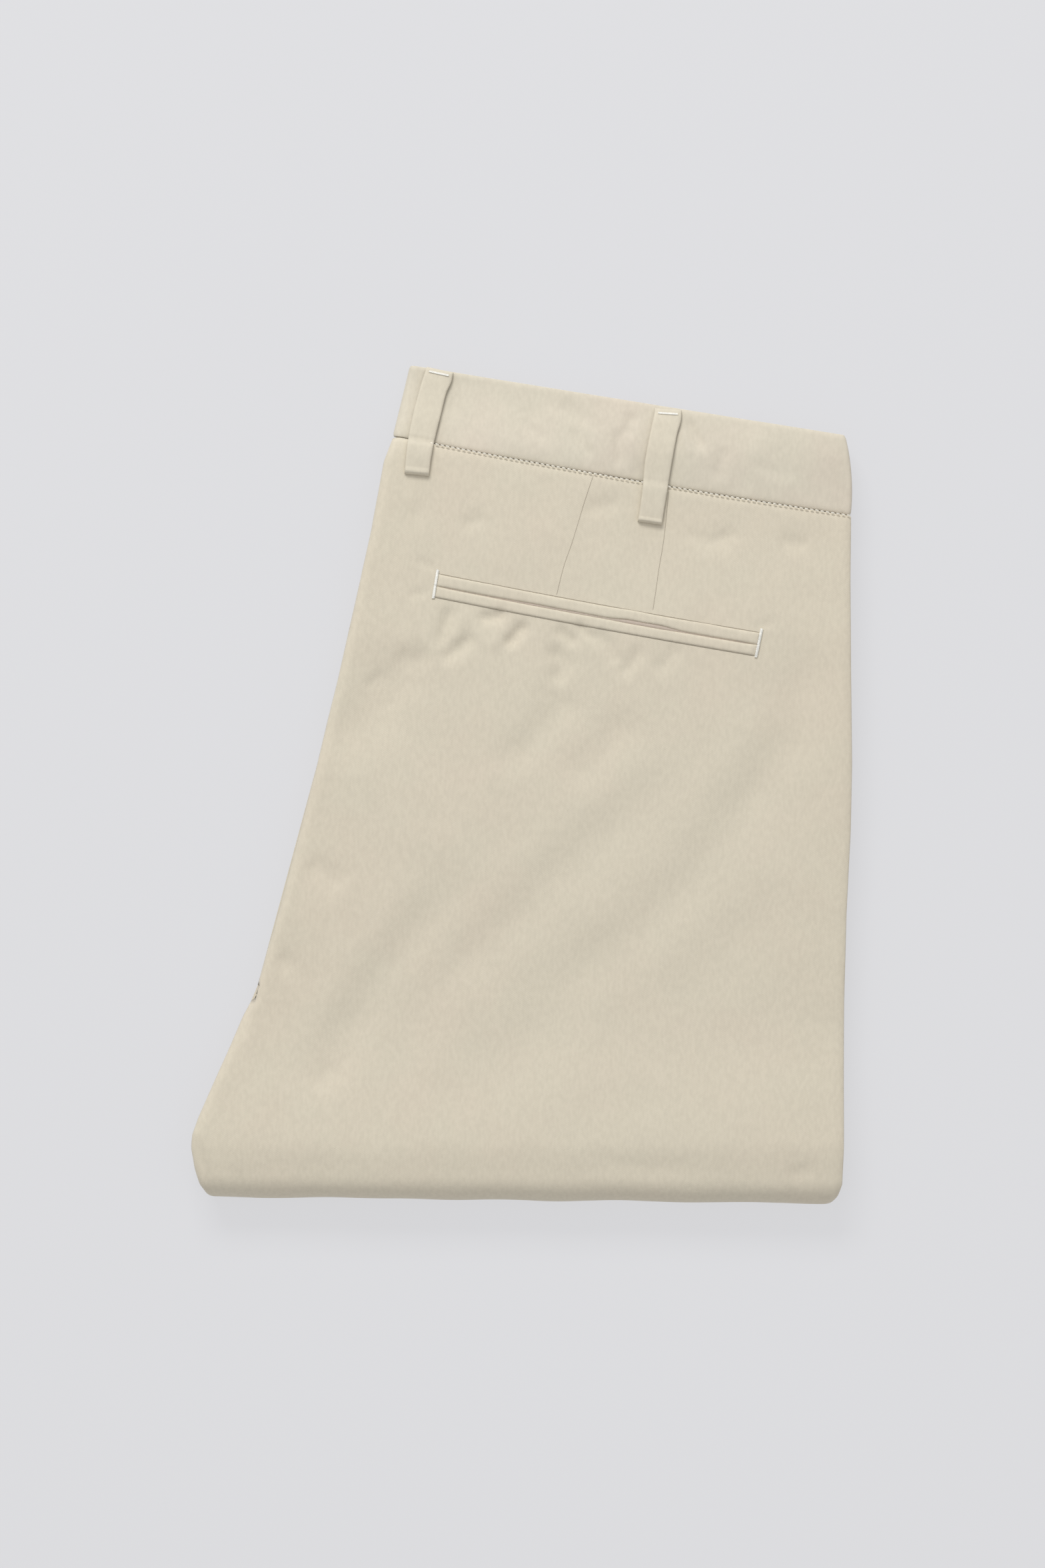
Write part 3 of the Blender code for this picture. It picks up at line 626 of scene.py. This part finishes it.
def make_seat():
    """The right back: from the waistband, round the roll, and along the underside to the second fold."""
    shares = edge_places(150, SEAT_WIDTH)
    top_rows, roll_rows, under_rows, knee_rows = 185, 18, 26, 5
    rows = []
    for k in range(top_rows + 1):
        part = k / top_rows
        y_left = SEAM_LEFT[1] - SEAM_LAP + part * (CREST_LEFT_Y - SEAM_LEFT[1] + SEAM_LAP)
        y_right = SEAM_RIGHT[1] - SEAM_LAP + part * (CREST_RIGHT_Y - SEAM_RIGHT[1] + SEAM_LAP)
        x, y = plan_row(edge_x(SEAT_EDGE, y_left), y_left, edge_x(SIDE_EDGE, y_right), y_right, shares)
        y = y - (1.0 - part) * 4.0 * SEAM_BOW * shares * (1.0 - shares)
        rows.append([x, y])
    plan = np.array(rows)
    height = skin_height(plan[:, 0], plan[:, 1])
    grid = [np.stack([plan[k, 0], plan[k, 1], height[k]], axis=1) for k in range(top_rows + 1)]
    for row, dip in zip(grid, SEAM_DIPS):
        row[:, 2] -= dip
    crest = grid[-1]
    for k in range(1, roll_rows + 1):
        turn = math.pi * k / roll_rows
        reach = ROLL_REACH * math.sin(turn)
        y_left, y_right = CREST_LEFT_Y - reach, CREST_RIGHT_Y - reach
        x_left, x_right = edge_x(SEAT_EDGE, y_left), edge_x(SIDE_EDGE, y_right)
        if turn > math.pi / 2:
            back = 1.0 - math.sin(turn)
            x_left = (1 - back) * edge_x(SEAT_EDGE, BOTTOM_LEFT_Y)
            x_left += back * edge_x(LEG_INSEAM, CREST_LEFT_Y)
            x_right = (1 - back) * edge_x(SIDE_EDGE, BOTTOM_RIGHT_Y)
            x_right += back * edge_x(LEG_SIDE, CREST_RIGHT_Y)
        x, y = plan_row(x_left, y_left, x_right, y_right, shares)
        waver = undulation(x, np.full_like(x, turn * 9.0), *ROLL_WAVER) * math.sin(turn)
        z = crest[:, 2] * 0.5 * (1.0 + math.cos(turn)) - NOSE_DROP * math.sin(turn)
        grid.append(np.stack([x, y + waver, z], axis=1))
    knee_y = FOLD_TWO_Y - KNEE_RADIUS
    for k in range(1, under_rows + 1):
        y_left = CREST_LEFT_Y + k / under_rows * (knee_y - CREST_LEFT_Y)
        y_right = CREST_RIGHT_Y + k / under_rows * (knee_y - CREST_RIGHT_Y)
        x, y = plan_row(edge_x(LEG_INSEAM, y_left), y_left, edge_x(LEG_SIDE, y_right), y_right, shares)
        grid.append(np.stack([x, y, np.zeros_like(x)], axis=1))
    for k in range(1, knee_rows + 1):
        turn = 0.5 * math.pi * k / knee_rows
        grid.append(grid[top_rows + roll_rows + under_rows]
                    + np.array([0.0, math.sin(turn), 1.0 - math.cos(turn)]) * KNEE_RADIUS)
    skin = np.array(grid)
    normal = normals_of(skin)
    seat = np.clip((top_rows + roll_rows - np.arange(len(skin))) / roll_rows, 0.0, 1.0)
    left_turn = SEAT_TURN * seat + CLOTH * (1.0 - seat)
    widths = np.linalg.norm(skin[:, -1] - skin[:, 0], axis=1)
    outer = skin.copy()
    for c, share in enumerate(shares):
        for near, turn in ((share, left_turn), (1.0 - share, np.full(len(skin), SIDE_TURN))):
            step = np.clip(near * widths / EDGE_ROUND, 0.0, 1.0)
            drop = 1.0 - np.sqrt(np.clip(1.0 - (1.0 - step) ** 2, 0.0, 1.0))
            outer[:, c] -= normal[:, c] * (turn * drop)[:, None]
    inner = outer - normals_of(outer) * SHELL
    return wall("seat_cloth", outer, inner, TWILL)


# ---------------------------------------------------------------- waistband


def band_point(along, across, length):
    x_low = SEAM_LEFT[0] + along / length * (SEAM_RIGHT[0] - SEAM_LEFT[0])
    part = along / length
    x_high = BAND_TOP_LEFT[0] + part * (BAND_TOP_RIGHT[0] - BAND_TOP_LEFT[0])
    y_high = BAND_TOP_LEFT[1] + part * (BAND_TOP_RIGHT[1] - BAND_TOP_LEFT[1])
    y_low = seam_y(x_low)
    bulge = BAND_RIGHT_BULGE * 4.0 * across * (1.0 - across) * max(0.0, part) ** 8
    return x_low + across * (x_high - x_low) + bulge, y_low + across * (y_high - y_low)


def band_path(length):
    """The closed band seen end on, pressed and folded in half: (along, level, way out) of each point."""
    step = BAND_CLOTH + LAYER_GAP
    levels = [BAND_CLOTH / 2 + k * step for k in range(4)]
    small = step / 2
    large = (levels[3] - levels[0]) / 2
    right = length - small - BAND_CLOTH / 2
    left = large + BAND_CLOTH / 2
    front = left + BAND_FRONT_INSET

    def run(start, end, level, up, count):
        return [(start + (end - start) * k / count, level, (0.0, up)) for k in range(count + 1)]

    def fold(centre, level, radius, start, sweep, sign, turns=8):
        found = []
        for k in range(1, turns):
            angle = start + sweep * k / turns
            out_a, out_z = math.cos(angle), math.sin(angle)
            found.append((centre + radius * out_a, level + radius * out_z, (sign * out_a, sign * out_z)))
        return found

    half = math.pi / 2
    path = run(left, right, levels[3], 1.0, BAND_STEPS)
    path += fold(right, levels[3] - small, small, half, -math.pi, 1.0)
    path += run(right, front, levels[2], -1.0, BAND_HIDDEN_STEPS)
    path += fold(front, levels[2] - small, small, half, math.pi, -1.0)
    path += run(front, right, levels[1], 1.0, BAND_HIDDEN_STEPS)
    path += fold(right, levels[1] - small, small, half, -math.pi, 1.0)
    path += run(right, left, levels[0], -1.0, BAND_HIDDEN_STEPS)
    path += fold(left, levels[0] + large, large, -half, -math.pi, 1.0, 12)
    return path, levels


def make_band():
    """The closed waistband, whose upper layer has the creases."""
    length = math.dist(SEAM_LEFT, SEAM_RIGHT)
    edge_rows = [0.0, 0.006, 0.02, BAND_EDGE]
    rows = np.concatenate([edge_rows, np.linspace(0.08, 0.93, 24), [0.955, 0.98, 0.994, 1.0]])
    path, levels = band_path(length)
    count = len(path)
    offsets, plan = [], []
    for side in (0.5, -0.5):
        for across in rows:
            rounding = min(1.0, 0.25 + 0.75 * math.sqrt(min(across, 1.0 - across) / BAND_EDGE))
            for along, level, (out_a, out_z) in path:
                offset = side * BAND_CLOTH * rounding
                x, y = band_point(along + out_a * offset, across, length)
                plan.append((x, y))
                offsets.append((level + out_z * offset, level / levels[3]))
    plan, offsets = np.array(plan), np.array(offsets)
    x, y = plan[:, 0], plan[:, 1]
    share = np.clip(offsets[:, 1], 0.0, 1.0) ** 3
    wrinkle = crease_depth(x, y, BAND_CREASES)
    wrinkle -= undulation(x, y, *BAND_SWELL) + undulation(x, y, *BAND_RIPPLE)
    z = support(y) + offsets[:, 0] - wrinkle * share
    size = len(rows) * count
    faces = grid_faces(len(rows), count, 0, flip=True, wrap=True)
    faces += grid_faces(len(rows), count, size, wrap=True)
    top = (len(rows) - 1) * count
    for k in range(count):
        n = (k + 1) % count
        faces.append((n, k, size + k, size + n))
        faces.append((top + k, top + n, size + top + n, size + top + k))
    return add_mesh("waistband_cloth", np.stack([x, y, z], axis=1), faces, BAND_TWILL_SHADED)


# ---------------------------------------------------------------- belt loops


def make_loop(name, middle, tree):
    """A belt loop: a pressed strap with soft edges, tucked under at its lower end."""
    path = smooth_path(middle, LOOP_STEPS)
    outer, inner = [], []
    last = len(path) - 1
    for k, (x, y, width) in enumerate(path):
        ahead = path[min(k + 1, last)][:2] - path[max(k - 1, 0)][:2]
        ahead = ahead / np.linalg.norm(ahead)
        side = np.array([-ahead[1], ahead[0]])
        part = k / last
        lift = LOOP_LOW + (1.0 - LOOP_LOW) * math.sin(math.pi * min(1.0, part * 1.02)) ** 0.6
        wavy = 0.25 * noise.noise(Vector((part * 4.0, len(name), 2.0)))
        end = min(1.0, 0.35 + 0.65 * math.sqrt(min(part, 1.0 - part) / LOOP_END_ROUND))
        base = max(
            height_on(tree, x + side[0] * width * s, y + side[1] * width * s) for s in (-0.45, 0.0, 0.45)
        )
        thick = LOOP_CLOTH * (LOOP_TUCK_THICKER if part > LOOP_TUCK_FROM else 1.0) * end
        top, low = [], []
        for across, up in LOOP_PROFILE:
            px, py = x + side[0] * width * across, y + side[1] * width * across
            top.append((px + wavy * 0.4, py, base + lift + thick * up))
            low.append((px + wavy * 0.4, py, base + lift - 0.12 if lift > 0.3 else base + 0.05))
        outer.append(top)
        inner.append(low)
    return wall(name + "_cloth", np.array(outer), np.array(inner), LOOP_TWILL), path


# ---------------------------------------------------------------- pocket


def pocket_point(part, across):
    start, end = Vector(POCKET_LEFT), Vector(POCKET_RIGHT)
    side = (end - start).normalized()
    side = Vector((-side.y, side.x))
    return start.lerp(end, part) + side * (across - POCKET_BOW * 4.0 * part * (1.0 - part))


def slit_edges(part):
    """Upper and lower edge of the pocket's slit, in millimetres across. It gapes in soft waves."""
    gape = sum(size * math.exp(-(((part - place) / width) ** 2)) for place, width, size in SLIT_WAVES)
    ends = min(1.0, part / 0.05, (1.0 - part) / 0.05)
    upper = (0.10 + SLIT_WIDEST * gape) * ends
    lower = -(0.18 + 0.25 * gape) * ends
    return upper - SLIT_DROP, lower - SLIT_DROP


def across_first(rows):
    """Rows laid across the pocket, turned into rows along it."""
    return np.array(rows).transpose(1, 0, 2)


def make_jet(name, low, high, tree, ripple):
    """A folded strip between two edges, raised along its middle and sunk into the back at its edges."""
    upper, lower = [], []
    for k in range(JET_STEPS + 1):
        part = k / JET_STEPS
        bottom, top = low(part), high(part)
        wave = noise.noise(Vector((part * 13.0, ripple, 0.0)))
        wave += 0.6 * noise.noise(Vector((part * 31.0, ripple, 4.0)))
        end = min(1.0, part / JET_END, (1.0 - part) / JET_END)
        above, below = [], []
        for share, height in JET_PROFILE:
            point = pocket_point(part, bottom + share * (top - bottom))
            surface = height_on(tree, point.x, point.y)
            bump = (height + 0.20 * wave * math.sin(math.pi * share)) * (0.3 + 0.7 * end)
            above.append((point.x, point.y, surface + bump))
            below.append((point.x, point.y, surface - JET_SINK))
        upper.append(above[::-1])
        lower.append(below[::-1])
    return wall(name, across_first(upper), across_first(lower), TWILL)


def make_facing(tree):
    """The strip of pocket cloth that shows where the slit gapes."""
    upper, lower = [], []
    for k in range(FACING_STEPS + 1):
        part = 0.01 + 0.98 * k / FACING_STEPS
        top, bottom = slit_edges(part)
        above = []
        for share in (1.25, 0.5, -0.25):
            point = pocket_point(part, bottom + share * (top - bottom))
            above.append((point.x, point.y, height_on(tree, point.x, point.y) + FACING_LIFT))
        upper.append(above)
        lower.append([(x, y, z - FACING_CLOTH) for x, y, z in above])
    return wall("pocket_facing_cloth", across_first(upper), across_first(lower), FACING)


def on_surface(tree, points, lift):
    return [(x, y, height_on(tree, x, y) + lift) for x, y in points]


def jet_top(part):
    """The upper jet's outer edge, which wavers a little."""
    return JET_WIDTH + 0.35 * noise.noise(Vector((part * 9.0, 3.0, 7.0)))


def jet_bottom(_part):
    """The lower jet's outer edge, which is even."""
    return -JET_WIDTH


def slit_top(part):
    return slit_edges(part)[0]


def slit_bottom(part):
    return slit_edges(part)[1]


def make_pocket(tree):
    """The two jets, the facing, and thin dark lines of painted shade along the seams above and below them.
    """
    jets = [
        make_jet("pocket_jet_upper_cloth", slit_top, jet_top, tree, 2.0),
        make_jet("pocket_jet_lower_cloth", jet_bottom, slit_bottom, tree, 6.0),
    ]
    facing = make_facing(tree)
    lines = []
    for across in (JET_WIDTH + 0.12, -JET_WIDTH - 0.05):
        parts = [0.003 + 0.994 * k / SEAM_LINE_STEPS for k in range(SEAM_LINE_STEPS + 1)]
        path = [tuple(pocket_point(part, across)) for part in parts]
        lines.append(tube(on_surface(tree, path, -0.02), 0.17))
    # Painted shade: dark lines where the jets sink into the back
    shade = join_tubes("pocket_seams", lines, SEAM_SHADE_PAINT)
    return jets, facing, shade


# ---------------------------------------------------------------- stitches


def make_seam_stitches(tree):
    """Lockstitches along the waist seam, from the back loop to the side, sinking in here and there."""
    threads = []
    x = SEAM_LEFT[0] + STITCHES_START
    while x < SEAM_RIGHT[0] - 1.5:
        sink = 0.35 * noise.noise(Vector((x / 22.0, 1.0, 1.0)))
        drift = 0.10 + 0.15 * noise.noise(Vector((x / 30.0, 4.0, 1.0)))
        points = []
        for k in range(5):
            px = x + STITCH_LENGTH * k / 4
            arch = STITCH_ARCH * math.sin(math.pi * k / 4)
            py = seam_y(px) - drift - 0.22 * k / 4
            points.append((px, py, height_on(tree, px, py - 0.9) + STITCH_LIFT + arch - max(0.0, sink)))
        threads.append(tube(points, THREAD))
        x += STITCH_PITCH
    return join_tubes("waist_seam_stitches", threads, STITCH)


def zigzag(start, end, width, turns, tree, lift, radius):
    """A bar tack's thread: one short tube for each of its legs."""
    start, end = Vector(start), Vector(end)
    side = (end - start).normalized()
    side = Vector((-side.y, side.x))
    points = []
    for k in range(turns * 2 + 1):
        place = start.lerp(end, k / (turns * 2)) + side * width * (0.5 if k % 2 else -0.5)
        points.append(Vector((place.x, place.y, height_on(tree, place.x, place.y) + lift)))
    return [tube([a, a.lerp(b, 0.15), a.lerp(b, 0.85), b], radius, 5) for a, b in zip(points, points[1:])]


def make_tacks(tree):
    """The bar tack at each end of the pocket."""
    threads = []
    for part, lean in ((0.0, -0.9), (1.0, 1.2)):
        top, bottom = pocket_point(part, JET_WIDTH + 1.9), pocket_point(part, -JET_WIDTH - 0.6)
        top.x += lean * 0.3
        threads.extend(zigzag(top, bottom, POCKET_TACK_WIDTH, 26, tree, 0.42, TACK_THREAD))
        core = [tuple(top.lerp(bottom, k / 30)) for k in range(31)]
        threads.append(tube(on_surface(tree, core, 0.40), 0.26))
    return join_tubes("pocket_bar_tacks", threads, TACK)


def make_loop_tacks(paths, tree):
    """The bar tack across the top of each belt loop."""
    threads = []
    for path in paths:
        x, y, width = path[4]
        ahead = np.array(path[6][:2]) - np.array(path[2][:2])
        ahead /= np.linalg.norm(ahead)
        side = np.array([-ahead[1], ahead[0]])
        start, end = (Vector((x + side[0] * width * s, y + side[1] * width * s)) for s in (-0.36, 0.36))
        threads.extend(zigzag(start, end, LOOP_TACK_WIDTH, 17, tree, 0.28, LOOP_TACK_THREAD))
        core = on_surface(tree, [tuple(start.lerp(end, k / 20)) for k in range(21)], 0.30)
        threads.append(tube([(px + ahead[0] * 0.2, py - 0.25, pz) for px, py, pz in core], 0.22))
    return join_tubes("belt_loop_tacks", threads, TACK)


def make_dart_shade_lines(tree):
    """The seam of each dart, a thin dark line of painted shade that is half sunk in the cloth."""
    lines = []
    for points in DARTS:
        path = [tuple(p) for p in smooth_path(points, 70)]
        lines.append(tube(on_surface(tree, path, -0.05), 0.15))
    # Painted shade: the dark colour on these lines stands in for the shade in each dart's groove
    return join_tubes("dart_seams", lines, SEAM_SHADE_PAINT)


# ---------------------------------------------------------------- hidden layers


def copy_layer(node, material, name):
    """A hidden layer, which shows only at its edges: the frame's own solid with a finer mesh, in twill."""
    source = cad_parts[node]
    source = source if hasattr(source, "data") else bpy.data.objects[source]
    piece = bpy.data.objects.new(name, source.data.copy())
    bpy.context.scene.collection.objects.link(piece)
    piece.matrix_world = source.matrix_world.copy()
    piece.data.materials.clear()
    piece.data.materials.append(material)
    piece.data.shade_smooth()
    finer = piece.modifiers.new("finer", "SUBSURF")
    finer.subdivision_type = "SIMPLE"
    finer.levels = finer.render_levels = 1
    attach(piece, "root")
    return piece


def declare(piece, node):
    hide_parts(node)


def make_stage():
    """The floor, the light and the camera. These sizes are in metres."""
    bpy.ops.mesh.primitive_plane_add(size=6.0, location=(0, 0, -0.0002))
    floor = bpy.context.object
    floor.name = "floor"
    floor.data.materials.append(floor_material())

    def area_light(name, place, size, power):
        data = bpy.data.lights.new(name, "AREA")
        data.shape = "RECTANGLE"
        data.size, data.size_y = size
        data.energy = power
        lamp = bpy.data.objects.new(name, data)
        lamp.location = place
        lamp.rotation_euler = (Vector((0, 0, 0)) - Vector(place)).to_track_quat("-Z", "Y").to_euler()
        bpy.context.scene.collection.objects.link(lamp)

    area_light("window", (-0.65, 2.5, 1.9), (1.8, 0.9), 66.0)
    area_light("fill", (0.3, 0.2, 3.4), (3.2, 3.2), 10.0)
    world = bpy.data.worlds.new("studio")
    world.use_nodes = True
    world.node_tree.nodes["Background"].inputs["Color"].default_value = (0.97, 0.98, 1.0, 1.0)
    world.node_tree.nodes["Background"].inputs["Strength"].default_value = 0.56
    bpy.context.scene.world = world
    bpy.context.scene.view_settings.view_transform = "Standard"
    camera_data = bpy.data.cameras.new("camera")
    camera_data.lens = CAMERA_LENS
    camera = bpy.data.objects.new("camera", camera_data)
    camera.location = (0, 0, CAMERA_HEIGHT)
    bpy.context.scene.collection.objects.link(camera)
    bpy.context.scene.camera = camera


def main():
    make_stage()
    seat = make_seat()
    band = make_band()
    under = tree_of([seat, band])
    loops, paths = [], []
    for name, middle in LOOPS.items():
        loop, path = make_loop(name, middle, under)
        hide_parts(name)
        loops.append(loop)
        paths.append(path)
    on_loops = tree_of([seat, band] + loops)
    jets, facing, pocket_seams = make_pocket(tree_of([seat]))
    for jet, node in zip(jets, ("pocket_jet_upper", "pocket_jet_lower")):
        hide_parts(node)
    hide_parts("pocket_facing")
    on_pocket = tree_of([seat] + jets)
    tacks = make_tacks(on_pocket)
    dart_shade_lines = make_dart_shade_lines(tree_of([seat]))
    loop_tacks = make_loop_tacks(paths, on_loops)
    stitches = make_seam_stitches(under)
    declare(seat, "back_right")
    declare(band, "waistband")
    for node, flat, area in (
        ("front_right", (0.30, 0.36), 0.090),
        ("front_left", (0.30, 0.36), 0.090),
        ("back_left", (0.30, 0.36), 0.091),
        ("folded_legs", (0.29, 0.33), 0.082),
    ):
        declare(copy_layer(node, TWILL, node + "_cloth"), node)


main()
